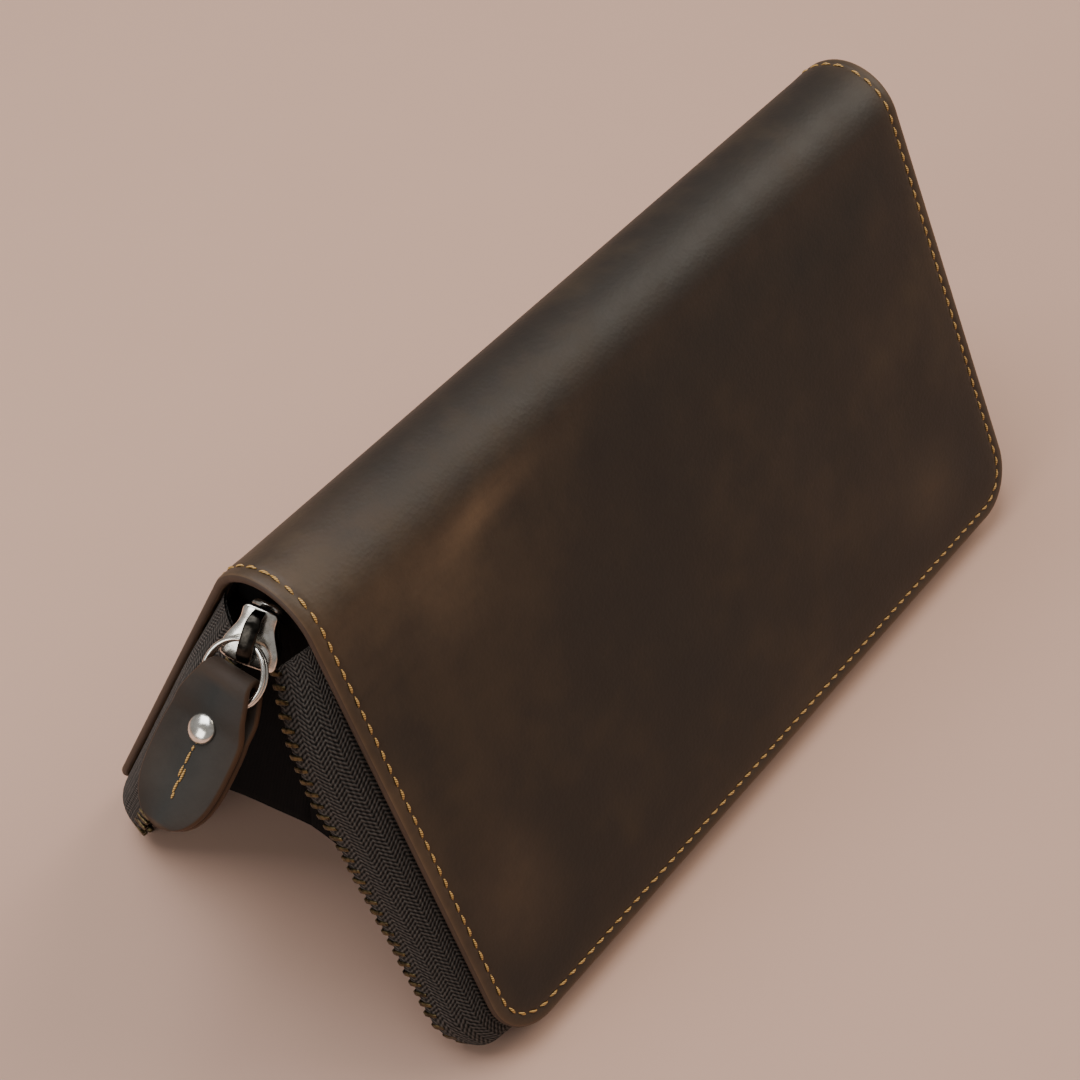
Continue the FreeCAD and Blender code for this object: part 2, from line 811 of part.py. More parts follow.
# Pull tab: one strip folded round the ring, two layers lying together below it.
tab = new_body("pull_tab")
outline = sketch_on(tab, "YZ_Plane")
polygon(
    outline,
    [
        ("-tab_neck_half", "-tab_top"),
        ("tab_neck_half", "-tab_top"),
        ("tab_neck_half", "-tab_neck_drop"),
        ("tab_half", "-tab_shoulder"),
        ("tab_half", "-tab_waist"),
        ("tab_end_half", "-tab_end"),
        ("-tab_end_half", "-tab_end"),
        ("-tab_half", "-tab_waist"),
        ("-tab_half", "-tab_shoulder"),
        ("-tab_neck_half", "-tab_neck_drop"),
    ],
)
pad(tab, outline, "tab_thickness", both_ways=True)
fillet(
    tab,
    "tab_end_round",
    lambda e: all(abs(v.Z + size("tab_end")) < 1e-6 for v in e.Vertexes)
    and abs(e.Vertexes[0].X - e.Vertexes[-1].X) > 1,
)
fillet(
    tab,
    "tab_loop_round",
    lambda e: all(abs(v.Z + size("tab_top")) < 1e-6 for v in e.Vertexes)
    and abs(e.Vertexes[0].Y - e.Vertexes[-1].Y) > 1,
)
profile = sketch_on(tab, "XZ_Plane")
polygon(
    profile,
    [
        ("-tab_slit_half", "-tab_slit_low"),
        ("tab_slit_half", "-tab_slit_low"),
        ("tab_slit_half", "-tab_slit_top"),
        ("tab_hollow_half", "-tab_hollow_low"),
        ("tab_hollow_half", "-tab_hollow_top"),
        ("-tab_hollow_half", "-tab_hollow_top"),
        ("-tab_hollow_half", "-tab_hollow_low"),
        ("-tab_slit_half", "-tab_slit_top"),
    ],
)
for sign in ("", "-"):
    polygon(
        profile,
        [
            (sign + "tab_clear_half", "-tab_taper_top"),
            (sign + "tab_loop_half", "-tab_taper_top"),
            (sign + "tab_flat_half", "-tab_flat_top"),
            (sign + "tab_flat_half", "-tab_slit_low"),
            (sign + "tab_clear_half", "-tab_slit_low"),
        ],
    )
cut_through(tab, profile)
bore = sketch_on(tab, "YZ_Plane")
circle(bore, "rivet_shank", "rivet_drop")
cut_through(tab, bore)
node("pull_tab", tab, PULL)

# Rivet: a domed cap on the outer layer, and a shank with a flat foot on the inner one.
cap = new_body("tab_rivet_cap")
outline = sketch_on(cap, "YZ_Plane", "-tab_flat_half")
circle(outline, "rivet_radius", "rivet_drop")
pad(cap, outline, "rivet_height", reverse=True)
top = -size("tab_flat_half") - size("rivet_height")
fillet(cap, "rivet_dome", lambda e: all(abs(v.X - top) < 1e-6 for v in e.Vertexes))
node("tab_rivet_cap", cap, PULL)
post = new_body("tab_rivet_post")
shank = sketch_on(post, "YZ_Plane", "-tab_flat_half")
circle(shank, "rivet_shank", "rivet_drop")
pad(post, shank, "tab_flat_thickness")
foot = sketch_on(post, "YZ_Plane", "tab_flat_half")
circle(foot, "rivet_foot", "rivet_drop")
pad(post, foot, "rivet_foot_height")
node("tab_rivet_post", post, PULL)
run = slab(
    "tab_thread",
    "YZ_Plane",
    [
        ("tab_thread_right", "-tab_thread_top"),
        ("tab_thread_left", "-tab_thread_top"),
        ("tab_thread_left", "-tab_thread_low"),
        ("tab_thread_right", "-tab_thread_low"),
    ],
    "tab_thread_bead",
    offset="-tab_flat_half",
    reverse=True,
)
node("tab_thread", run, PULL)

doc.recompute()
for feature in doc.Objects:
    if "Invalid" in feature.State or "Error" in feature.State:
        raise ValueError(feature.Name + " " + feature.Label + ": " + str(feature.State))
os.makedirs("parts", exist_ok=True)
for piece in NODES:
    if piece.Shape.isNull() or not piece.Shape.isValid():
        raise ValueError(piece.Label + ": the shape is null or invalid")
    piece.Shape.exportStep(os.path.join("parts", piece.Label + ".step"))
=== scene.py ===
import bpy
import bmesh
import json
import math
import random
from mathutils import Matrix, Vector, noise


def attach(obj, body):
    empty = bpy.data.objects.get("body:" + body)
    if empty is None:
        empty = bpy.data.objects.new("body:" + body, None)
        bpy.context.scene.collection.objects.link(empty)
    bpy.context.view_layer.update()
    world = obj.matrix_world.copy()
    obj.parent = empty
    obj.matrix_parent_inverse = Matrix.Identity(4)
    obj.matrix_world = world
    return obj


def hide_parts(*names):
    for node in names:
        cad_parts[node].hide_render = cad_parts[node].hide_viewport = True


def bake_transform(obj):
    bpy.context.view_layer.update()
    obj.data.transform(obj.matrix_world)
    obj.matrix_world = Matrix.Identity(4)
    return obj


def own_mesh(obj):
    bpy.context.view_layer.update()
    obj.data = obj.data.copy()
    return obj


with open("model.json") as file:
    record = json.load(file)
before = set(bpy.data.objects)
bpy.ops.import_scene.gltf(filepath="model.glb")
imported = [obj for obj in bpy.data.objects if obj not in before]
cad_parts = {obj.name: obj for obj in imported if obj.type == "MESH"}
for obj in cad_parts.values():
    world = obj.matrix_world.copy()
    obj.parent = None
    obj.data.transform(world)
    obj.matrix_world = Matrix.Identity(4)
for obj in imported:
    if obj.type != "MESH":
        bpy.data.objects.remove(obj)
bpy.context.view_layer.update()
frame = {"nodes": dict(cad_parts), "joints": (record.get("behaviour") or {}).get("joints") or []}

# Camera: off the slider's end of the spine and above the front cover, on the long lens
# of a product shot.  Its place is measured from the middle of the fold's axis.
FOLD = next(j for j in frame["joints"] if j["name"] == "front_fold")
AXIS = Vector(FOLD["pos_m"])
turned_round, lifted, rolled = (math.radians(angle) for angle in (-52.135, 46.246, -0.73))
backward = Vector((math.sin(turned_round) * math.cos(lifted),
                   -math.cos(turned_round) * math.cos(lifted), math.sin(lifted)))
level = Vector((0, 0, 1)).cross(backward).normalized()
steep = backward.cross(level)
lens = bpy.data.cameras.new("camera")
lens.sensor_width = 36.0
lens.lens = 80.63
lens.clip_start = 0.01
eye = bpy.data.objects.new("camera", lens)
bpy.context.scene.collection.objects.link(eye)
turned = Matrix((level * math.cos(rolled) + steep * math.sin(rolled),
                 steep * math.cos(rolled) - level * math.sin(rolled), backward)).transposed().to_4x4()
turned.translation = AXIS + Vector((-0.302059, -0.221339, 0.332746))
eye.matrix_world = turned
bpy.context.scene.camera = eye

# Shared geometry.  Each half is drawn flat and shut, as (x along the spine, run down
# from the spine's crest, depth out from the closing plane), and then wrapped over the
# arch and swung open about the fold axis.
OPEN = math.radians(FOLD["range_deg"][1])
HALF = 0.100
LEATHER_OUT = 0.0135
LEATHER_IN = 0.0115
MIDDLE = 0.0125
CORNER = 0.0125
ARCH_RUN = (math.pi / 2 - OPEN) * MIDDLE
COVER_RUN = ARCH_RUN + 0.104
ARCH_STEPS = 36
CORNER_STEPS = 16
DOWN_STEP = 0.0022
ACROSS_STEP = 0.0025
SIDES = (("front", 1), ("back", -1))


def wrap(side, x, run, depth):
    """Place in the shared frame of a point of one half (side 1 is the front, -1 the back)."""
    if run < ARCH_RUN:
        turn = run / MIDDLE
        y, z = -depth * math.sin(turn), depth * math.cos(turn)
    else:
        drop = run - ARCH_RUN
        y = -depth * math.cos(OPEN) - drop * math.sin(OPEN)
        z = depth * math.sin(OPEN) - drop * math.cos(OPEN)
    return AXIS + Vector((x, side * y, z))


def eased(k):
    """A step from 0 to 1 that starts and ends gently."""
    k = min(1.0, max(0.0, k))
    return k * k * (3 - 2 * k)


def track(start=0.0):
    """Points down one end, along the free edge and up the other end, as (x, run, turn),
    finely over the arch; a start other than 0 is below the arch."""
    span = 2 * (HALF - CORNER)
    over = 0 if start else ARCH_STEPS
    drops = [ARCH_RUN * i / over for i in range(over)]
    first = max(start, ARCH_RUN)
    down = round((COVER_RUN - CORNER - first) / DOWN_STEP)
    across = round(span / ACROSS_STEP)
    drops += [first + (COVER_RUN - CORNER - first) * i / down for i in range(down)]
    points = [(-HALF, run, 0.0) for run in drops]
    for i in range(CORNER_STEPS):
        turn = math.pi / 2 * i / CORNER_STEPS
        points.append((CORNER - HALF - CORNER * math.cos(turn),
                       COVER_RUN - CORNER + CORNER * math.sin(turn), turn))
    for i in range(across):
        points.append((CORNER - HALF + span * i / across, COVER_RUN, math.pi / 2))
    for i in range(CORNER_STEPS):
        turn = math.pi / 2 * (1 - i / CORNER_STEPS)
        points.append((HALF - CORNER + CORNER * math.cos(turn),
                       COVER_RUN - CORNER + CORNER * math.sin(turn), turn))
    return points + [(HALF, run, 0.0) for run in [COVER_RUN - CORNER] + drops[::-1]]


def moved_in(x, run, turn, inset):
    """A point of the track moved straight in from the edge, as (x, run)."""
    if turn < 1e-9:
        return math.copysign(HALF - inset, x), run
    if turn > math.pi / 2 - 1e-9 and abs(x) < HALF - CORNER:
        return x, COVER_RUN - inset
    radius = max(CORNER - inset, 1e-5)
    return (math.copysign(HALF - CORNER + radius * math.cos(turn), x),
            COVER_RUN - CORNER + radius * math.sin(turn))


def along(points, pitch, first=0.0):
    """Walk a track at an even pitch; gives (x, run, turn, heading angle)."""
    found, left = [], first
    for (x0, r0, t0), (x1, r1, t1) in zip(points, points[1:]):
        length = math.hypot(x1 - x0, r1 - r0)
        while length > 1e-9 and left < length:
            k = left / length
            found.append((x0 + (x1 - x0) * k, r0 + (r1 - r0) * k, t0 + (t1 - t0) * k,
                          math.atan2(r1 - r0, x1 - x0)))
            left += pitch
        left -= length
    return found


# Making pieces.  Every mesh is built by bmesh in shared-frame metres, with UVs in real
# metres so that a weave or grain keeps its true size when the piece folds.
def finish_mesh(name, bm, materials, smooth=True, weld=0.0):
    """Close a bmesh into a linked piece with its materials, its faces turned outward."""
    if weld:
        bmesh.ops.remove_doubles(bm, verts=bm.verts, dist=weld)
    bmesh.ops.recalc_face_normals(bm, faces=bm.faces)
    mesh = bpy.data.meshes.new(name)
    bm.to_mesh(mesh)
    bm.free()
    for face in mesh.polygons:
        face.use_smooth = smooth
    piece = bpy.data.objects.new(name, mesh)
    bpy.context.scene.collection.objects.link(piece)
    for material in materials:
        mesh.materials.append(material)
    return piece


def skin(bm, rows, uvs, layer, close=False):
    """Quads between rows of points; rows and their flat places have the same shape."""
    made = [[bm.verts.new(p) for p in row] for row in rows]
    for a, b, ua, ub in zip(made, made[1:], uvs, uvs[1:]):
        last = len(a) if close else len(a) - 1
        for i in range(last):
            j = (i + 1) % len(a)
            face = bm.faces.new((a[i], a[j], b[j], b[i]))
            for loop, flat in zip(face.loops, (ua[i], ua[j], ub[j], ub[i])):
                loop[layer].uv = flat
    return made


def strap(bm, layer, line, half_of, thick, lip, place):
    """A strip with softened rims swept along a line of (drop, out); place turns
    (across, drop, out) into the shared frame.  Gives back its rings of vertices."""
    rows, uvs, travelled = [], [], 0.0
    for index, (drop, out) in enumerate(line):
        before, after = line[max(0, index - 1)], line[min(len(line) - 1, index + 1)]
        run = Vector((after[0] - before[0], after[1] - before[1])).normalized()
        if index:
            travelled += math.hypot(drop - before[0], out - before[1])
        half, side = half_of(drop), thick / 2
        rim = min(lip, half * 0.5)
        ring = [(-half + rim, -side), (0, -side), (half - rim, -side),
                (half - rim * 0.3, -side * 0.75), (half, -side * 0.2),
                (half, side * 0.2), (half - rim * 0.3, side * 0.75),
                (half - rim, side), (0, side), (-half + rim, side),
                (-half + rim * 0.3, side * 0.75), (-half, side * 0.2),
                (-half, -side * 0.2), (-half + rim * 0.3, -side * 0.75)]
        rows.append([place(y, drop - run.y * t, out + run.x * t) for y, t in ring])
        uvs.append([(y + 0.5, travelled + 0.3) for y, t in ring])
    made = skin(bm, rows, uvs, layer, close=True)
    bm.faces.new(made[0])
    bm.faces.new(made[-1])
    return made


# Materials.  Colours are sRGB hex, turned linear here; a small helper adds each node.
def colour(code):
    parts = [int(code[i:i + 2], 16) / 255 for i in (1, 3, 5)]
    return tuple(c / 12.92 if c <= 0.04045 else ((c + 0.055) / 1.055) ** 2.4 for c in parts) + (1.0,)


class Finish:
    """A material under construction: add() makes a node, link() joins two sockets."""

    def __init__(self, name):
        self.material = bpy.data.materials.new(name)
        self.material.use_nodes = True
        self.tree = self.material.node_tree
        self.shader = self.tree.nodes["Principled BSDF"]

    def add(self, kind, **settings):
        made = self.tree.nodes.new("ShaderNode" + kind)
        inputs = settings.pop("inputs", {})
        for key, value in settings.items():
            setattr(made, key, value)
        for key, value in inputs.items():
            if isinstance(value, bpy.types.NodeSocket):
                self.tree.links.new(value, made.inputs[key])
            else:
                made.inputs[key].default_value = value
        return made

    def set(self, **inputs):
        """Give the shader's inputs, by name with _ for a space, a value or a socket."""
        for key, value in inputs.items():
            socket = self.shader.inputs[key.replace("_", " ")]
            if isinstance(value, bpy.types.NodeSocket):
                self.tree.links.new(value, socket)
            else:
                socket.default_value = value

    def ramp(self, fac, *stops):
        made = self.add("ValToRGB", inputs={"Fac": fac})
        elements = made.color_ramp.elements
        while len(elements) < len(stops):
            elements.new(0.5)
        for element, (place, code) in zip(elements, stops):
            element.position = place
            element.color = colour(code)
        return made.outputs["Color"]

    def noise(self, where, scale, detail=3.0, rough=0.55):
        made = self.add("TexNoise", inputs={"Vector": where, "Scale": scale, "Detail": detail,
                                            "Roughness": rough})
        return made.outputs["Fac"]

    def math(self, operation, a, b=0.0):
        made = self.add("Math", operation=operation, inputs={0: a, 1: b})
        return made.outputs["Value"]

    def mix(self, fac, a, b):
        made = self.add("Mix", data_type="RGBA")
        for key, value in ((0, fac), (6, a), (7, b)):
            if isinstance(value, bpy.types.NodeSocket):
                self.tree.links.new(value, made.inputs[key])
            else:
                made.inputs[key].default_value = value
        return made.outputs[2]

    def bump(self, height, distance, strength):
        made = self.add("Bump", inputs={"Height": height, "Distance": distance, "Strength": strength})
        return made.outputs["Normal"]


def mapping(f, mapped):
    """Flat UVs in metres for pieces drawn here, object metres for the frame's own."""
    if mapped:
        return f.add("UVMap", uv_map="flat").outputs["UV"]
    return f.add("TexCoord").outputs["Object"]


def leather(name, dark, body, light, wear, rough=0.56, grain=1.0, gloss=0.5, mapped=True):
    """Waxed pull-up hide: cloudy brown, paler where it is bent or rubbed, fine grain."""
    f = Finish(name)
    flat = mapping(f, mapped)
    cloud = f.noise(flat, 13.0, 4.0, 0.6)
    spots = f.noise(flat, 85.0, 5.0, 0.65)
    both = f.math("ADD", f.math("MULTIPLY", cloud, 0.70), f.math("MULTIPLY", spots, 0.30))
    base = f.ramp(both, (0.36, dark), (0.50, body), (0.66, light))
    stretched = f.add("Mapping", inputs={"Vector": flat, "Rotation": (0, 0, 0.9), "Scale": (30, 260, 30)})
    streaks = f.math("MULTIPLY", f.noise(stretched.outputs["Vector"], 1.0, 3.0, 0.6), 0.5)
    rubbed = f.add("Attribute", attribute_name="wear").outputs["Fac"]
    patchy = f.math("MULTIPLY", rubbed, f.math("ADD", f.math("MULTIPLY", spots, 1.1), streaks))
    base = f.mix(f.math("MINIMUM", patchy, 1.0), base, colour(wear))
    cells = f.add("TexVoronoi", inputs={"Vector": flat, "Scale": 1150.0})
    fine = f.noise(flat, 2600.0, 2.0)
    crease = f.noise(flat, 210.0, 3.0, 0.6)
    height = f.math("ADD", f.math("MULTIPLY", cells.outputs["Distance"], 0.5 * grain),
                    f.math("MULTIPLY", fine, 0.22 * grain))
    height = f.math("ADD", height, f.math("MULTIPLY", crease, 0.8))
    shine = f.math("ADD", f.math("MULTIPLY", spots, 0.24), rough - 0.12)
    f.set(Base_Color=base, Roughness=shine, Normal=f.bump(height, 0.00013, 0.5))
    f.set(Specular_IOR_Level=gloss)
    return f.material


def cloth(name, dark, light, thread, rough=0.8, chevron=0.0, depth=0.00012, fuzz=0.0, mapped=True):
    """Woven tape or lining: thread-wide ribs, turning in chevrons across a tape."""
    f = Finish(name)
    flat = mapping(f, mapped)
    apart = f.add("SeparateXYZ", inputs={"Vector": flat})
    u, v = apart.outputs["X"], apart.outputs["Y"]
    lean = u
    if chevron:
        lean = f.math("ADD", u, f.math("PINGPONG", v, chevron))
    rib = f.math("SINE", f.math("MULTIPLY", lean, 2 * math.pi / thread))
    weft = f.math("SINE", f.math("MULTIPLY", v, 2 * math.pi / (thread * 0.8)))
    height = f.math("ADD", f.math("MULTIPLY", rib, 0.6), f.math("MULTIPLY", weft, 0.3))
    speck = f.noise(flat, 1500.0, 2.0)
    # Colour follows rib height and fine specks: the weave's pattern, its pale end painted glints on the
    # thread crests.
    level = f.math("ADD", f.math("MULTIPLY", height, 0.42), f.math("MULTIPLY", speck, 0.75))
    f.set(Base_Color=f.ramp(level, (0.15, dark), (0.80, light)), Roughness=rough)
    f.set(Normal=f.bump(height, depth, 0.8), Specular_IOR_Level=0.15)
    f.set(Sheen_Weight=fuzz, Sheen_Roughness=0.5)
    return f.material


def metal(name, bright, dull, rough, spread, scale=700.0):
    """Plated metal with faint handling marks."""
    f = Finish(name)
    where = f.add("TexCoord").outputs["Object"]
    marks = f.noise(where, scale, 4.0, 0.6)
    f.set(Base_Color=f.ramp(marks, (0.35, dull), (0.6, bright)), Metallic=1.0)
    f.set(Roughness=f.math("ADD", f.math("MULTIPLY", marks, spread), rough - spread / 2))
    f.set(Normal=f.bump(marks, 0.00002, 0.4))
    return f.material


def yarn(name, dark, light):
    """Waxed polyester thread, twisted."""
    f = Finish(name)
    where = f.add("TexCoord").outputs["Object"]
    twist = f.add("TexWave", bands_direction="DIAGONAL",
                  inputs={"Vector": where, "Scale": 900.0, "Distortion": 1.0, "Detail": 1.0})
    f.set(Base_Color=f.ramp(twist.outputs["Fac"], (0.2, dark), (0.8, light)), Roughness=0.42)
    f.set(Normal=f.bump(twist.outputs["Fac"], 0.00008, 0.6))
    return f.material


# Waxed cowhide of the cover; wear shows its tan fibre.
HIDE = leather("waxed_brown_hide", "#120C06", "#20160C", "#362818", "#7D6146")
# The same hide's cut and burnished edge.
EDGE = leather("burnished_hide_edge", "#1E150E", "#2E2118", "#43322A", "#4A3628", 0.6, 0.6)
# Greyer hide of the pull tab, brown where it is cut.
TAB_HIDE = leather("tab_hide", "#171614", "#252422", "#383633", "#4C3320", 0.62, gloss=0.3)
# Thin hide of the card leaves.
INNER = leather("inner_hide", "#17110D", "#231A14", "#30251C", "#3A2C20", 0.5, mapped=False)
# Black polyester zip tape, woven in a herringbone; its paler rib crests and specks are painted glints of
# the thread's sheen.
TAPE = cloth("zip_tape_weave_and_painted_glints", "#040404", "#57524E", 0.00105,
             chevron=0.0021, depth=0.0002, fuzz=0.05)
# Black lining cloth, on the drawn gussets and on the frame's own linings; its near-zero colour is partly
# painted shade of the wallet's inside.
GUSSET = cloth("black_gusset_cloth_and_painted_shade", "#010102", "#050507", 0.0004, 0.9)
LINING = cloth("black_lining_and_painted_shade", "#010102", "#08080A", 0.0004, 0.9, mapped=False)
# Cast teeth in antiqued brass, and the plain coil of the coin pocket's zip.
TEETH = metal("antique_brass", "#6C6044", "#27221A", 0.40, 0.24, scale=1100.0)
COIL = metal("black_coil", "#1A1A1A", "#0A0A0A", 0.5, 0.1)
# Bright nickel, and the slider's bridge: the same nickel painted dark, a painted reflection of dark
# surroundings.
NICKEL = metal("polished_nickel", "#F2F0EA", "#D6D3CA", 0.20, 0.10)
BRIDGE = metal("nickel_painted_dark_reflection", "#3A3733", "#1C1B19", 0.22, 0.10)
# Gold-brown waxed thread.
THREAD = yarn("gold_thread", "#86602A", "#D4AA64")

# Leather cover: each half runs from the spine's crest, over the arch, to its free edge.
# Rings follow the edge so that the burnished lip, the stitch groove and the flat field
# are all drawn; the two halves meet at the crest.
LIP = (
    (0.0009, LEATHER_IN, 0.5), (0.0003, LEATHER_IN + 0.0002, 0.6), (0.0, LEATHER_IN + 0.0007, 0.7),
    (0.0, LEATHER_OUT - 0.0007, 0.7), (0.0003, LEATHER_OUT - 0.0002, 0.6),
    (0.0009, LEATHER_OUT, 0.30), (0.0019, LEATHER_OUT + 0.00005, 0.18),
    (0.0025, LEATHER_OUT, 0.16), (0.0030, LEATHER_OUT - 0.00028, 0.20),
    (0.0035, LEATHER_OUT, 0.14), (0.0044, LEATHER_OUT + 0.00008, 0.08),
    (0.0070, LEATHER_OUT, 0.04), (0.0100, LEATHER_OUT, 0.02), (0.01249, LEATHER_OUT, 0.0),
)


def swell(x, run):
    """How far the hide stands off its flat shape: long, shallow, nothing at the seams."""
    edge = min(HALF - abs(x), COVER_RUN - run)
    fade = eased((run - ARCH_RUN) / 0.02) * eased(edge / 0.02)
    wave = noise.noise(Vector((x * 22, run * 26, 3.1)))
    wave += 0.5 * noise.noise(Vector((x * 60, run * 55, 7.7)))
    return 0.0004 * fade * (0.8 + wave)


def hide_wear(side, x, run):
    """Wear where the hide is bent, at the spine's near end and the shoulders, and four
    rubbed patches on the front."""
    shoulder = math.exp(-(((run - ARCH_RUN) / 0.006) ** 2))
    near_end = math.exp(-(x + HALF) / 0.022) * math.exp(-max(0.0, run - 0.016) / 0.018)
    worn = 0.05 * shoulder + 0.30 * near_end
    if side == 1:
        slope = run - 0.017 + 0.06 * (x + 0.052)
        worn += 0.55 * math.exp(-(((x + 0.052) / 0.011) ** 2) - ((slope / 0.0032) ** 2))
        worn += 0.25 * math.exp(-(((x + 0.068) / 0.012) ** 2) - (((run - 0.024) / 0.010) ** 2))
        worn += 0.22 * math.exp(-(((x + 0.084) / 0.012) ** 2) - (((run - 0.090) / 0.014) ** 2))
        worn += 0.18 * math.exp(-(((x - 0.070) / 0.012) ** 2) - (((run - 0.098) / 0.010) ** 2))
    return worn


for label, side in SIDES:
    bm = bmesh.new()
    flat = bm.loops.layers.uv.new("flat")
    worn = bm.verts.layers.float.new("wear")
    edge_track = track()
    rings, uvs = [], []
    for inset, depth, rub in LIP:
        places = [moved_in(*spot, inset) for spot in edge_track]
        rings.append([wrap(side, x, run, depth + swell(x, run)) for x, run in places])
        uvs.append([(x, side * run) for x, run in places])
    made = skin(bm, rings, uvs, flat)
    for (inset, depth, rub), ring, uv in zip(LIP, made, uvs):
        for vert, (x, run) in zip(ring, uv):
            vert[worn] = max(rub, hide_wear(side, x, abs(run)))
    bm.faces.ensure_lookup_table()
    strip = len(edge_track) - 1
    for face in bm.faces[strip:4 * strip]:
        face.material_index = 1
    columns = [x for x, run, turn in edge_track if turn > math.pi / 2 - 1e-9]
    drops = [run for x, run, turn in edge_track if turn < 1e-9 and x < 0] + [COVER_RUN - CORNER]
    for depth in (LEATHER_OUT, LEATHER_IN):
        field = [[wrap(side, x, run, depth + swell(x, run)) for x in columns] for run in drops]
        field_uv = [[(x, side * run) for x in columns] for run in drops]
        made = skin(bm, field, field_uv, flat)
        for grid_row, uv in zip(made, field_uv):
            for vert, (x, run) in zip(grid_row, uv):
                vert[worn] = hide_wear(side, x, abs(run)) if depth == LEATHER_OUT else 0.0
    under = [[wrap(side, x, run, LEATHER_IN + swell(x, run)) for x, run in
              (moved_in(*spot, inset) for spot in edge_track)] for inset in (LIP[0][0], LIP[-1][0])]
    skin(bm, under, [uvs[0], uvs[-1]], flat)
    cover = finish_mesh(label + "_hide", bm, [HIDE, EDGE], weld=2e-5)
    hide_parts(label + "_cover", *(["spine_cover"] if side == 1 else []))
    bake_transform(cover)

# Lockstitch: separate waxed stitches in the groove, a little slanted, each dipping at
# its ends where it passes through the hide.
SEAM_INSET = 0.0030
STITCH_PITCH = 0.00320
SEAM_START = 0.0012
STITCH_SIDES = 8

for label, side in SIDES:
    rng = random.Random(11 + side)
    bm = bmesh.new()
    seam_track = [(*moved_in(*spot, SEAM_INSET), spot[2]) for spot in track()]
    for x, run, turn, heading in along(seam_track, STITCH_PITCH, SEAM_START):
        slant = heading + 0.14 + rng.uniform(-0.05, 0.05)
        length = 0.00230 + rng.uniform(-0.00012, 0.00012)
        lift, rings = rng.uniform(-0.00003, 0.00003), []
        for i in range(7):
            k = i / 6
            t = (k - 0.5) * length
            bulge = math.sin(math.pi * min(max(k, 0.04), 0.96)) ** 0.5
            rise = lift + 0.00028 * math.sin(math.pi * k) - 0.00018
            cx, cr = x + t * math.cos(slant), run + t * math.sin(slant)
            ring = []
            for j in range(STITCH_SIDES):
                a = 2 * math.pi * j / STITCH_SIDES
                w, h = 0.00030 * bulge * math.cos(a), 0.00023 * bulge * math.sin(a)
                ring.append(wrap(side, cx - w * math.sin(slant), cr + w * math.cos(slant),
                                 LEATHER_OUT + swell(cx, cr) + rise + h))
            rings.append([bm.verts.new(p) for p in ring])
        for a, b in zip(rings, rings[1:]):
            for j in range(STITCH_SIDES):
                k = (j + 1) % STITCH_SIDES
                bm.faces.new((a[j], a[k], b[k], b[j]))
        bm.faces.new(rings[0][::-1])
        bm.faces.new(rings[-1])
    seam = finish_mesh(label + "_stitches", bm, [THREAD])
    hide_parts(label + "_seam_thread",
                *(["near_spine_thread", "far_spine_thread"] if side == 1 else []))
    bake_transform(seam)

# Zip tape: a woven wall from under the leather's edge to the closing plane.  It starts
# beside the slider, leans out past the leather once clear of it, and ripples a little.
TAPE_START = 0.0012
TAPE_INSET = 0.0025
TAPE_WIDTH = 0.0135
TAPE_HALF_THICK = 0.00035
TAPE_STEPS = 9


def tape_place(side, x, run, turn, k, off=0.0):
    """A point of the tape wall: k is 0 at the leather and 1 at the teeth; off is how
    far it stands out from the wall's middle."""
    clear = eased((run - ARCH_RUN) / 0.028)
    lean = 0.0040 + 0.0056 * clear - 0.0012 * eased((run - ARCH_RUN - 0.028) / 0.06)
    if turn > 0.1:
        lean = min(lean, 0.0119 / math.sin(turn) - 0.0100)
    ripple = 0.0005 * noise.noise(Vector((x * 90, run * 90, side * 5.0))) * k * clear
    out = lean * (1 - (1 - k) ** 2) + ripple + off
    px, pr = moved_in(x, run, turn, TAPE_INSET)
    px += math.copysign(math.cos(turn) * out, x)
    pr += math.sin(turn) * out
    return wrap(side, px, pr, LEATHER_IN - 0.0002 - 0.0103 * k ** 1.9)


for label, side in SIDES:
    bm = bmesh.new()
    flat = bm.loops.layers.uv.new("flat")
    path = track(start=ARCH_RUN)
    lengths = [0.0]
    for (x0, r0, t0), (x1, r1, t1) in zip(path, path[1:]):
        lengths.append(lengths[-1] + math.hypot(x1 - x0, r1 - r0))
    section = [(i / TAPE_STEPS, TAPE_HALF_THICK) for i in range(TAPE_STEPS + 1)]
    section += [(1 - i / TAPE_STEPS, -TAPE_HALF_THICK) for i in range(TAPE_STEPS + 1)]
    section.append(section[0])
    rows, uvs = [], []
    for k, off in section:
        top = ARCH_RUN + TAPE_START + 0.0052 * k ** 2
        rows.append([tape_place(side, x, max(run, top), turn, k, off) for x, run, turn in path])
        uvs.append([(length, k * TAPE_WIDTH + (0.03 if off < 0 else 0.0)) for length in lengths])
    skin(bm, rows, uvs, flat)
    tape = finish_mesh(label + "_tape", bm, [TAPE], weld=1e-6)
    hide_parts(label + "_zip_tape")
    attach(tape, label + "_half")
    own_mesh(tape)


# Teeth: cast blocks clamped on the tape's edge, each a bevelled eight-sided block, fullest
# just past the tape's edge and tapering back over the tape and to its tip.
TOOTH_PITCH = 0.0028
TEETH_START = 0.0068


def tooth(bm, place):
    """One tooth; place turns (across, thick, reach) in metres into the shared frame."""
    profile = ((-0.0024, 0.00036, 0.00052), (-0.0019, 0.00046, 0.00066),
               (-0.0009, 0.00052, 0.00074), (-0.0002, 0.00060, 0.00078),
               (0.0006, 0.00060, 0.00072), (0.0010, 0.00044, 0.00052))
    rings = []
    for reach, wide, thick in profile:
        cut = 0.30 * wide
        ring = [(-wide + cut, -thick), (wide - cut, -thick), (wide, -thick + cut),
                (wide, thick - cut), (wide - cut, thick), (-wide + cut, thick),
                (-wide, thick - cut), (-wide, -thick + cut)]
        rings.append([bm.verts.new(place(a, t, reach)) for a, t in ring])
    for a, b in zip(rings, rings[1:]):
        for j in range(8):
            k = (j + 1) % 8
            bm.faces.new((a[j], a[k], b[k], b[j]))
    bm.faces.new(rings[0][::-1])
    bm.faces.new(rings[-1])


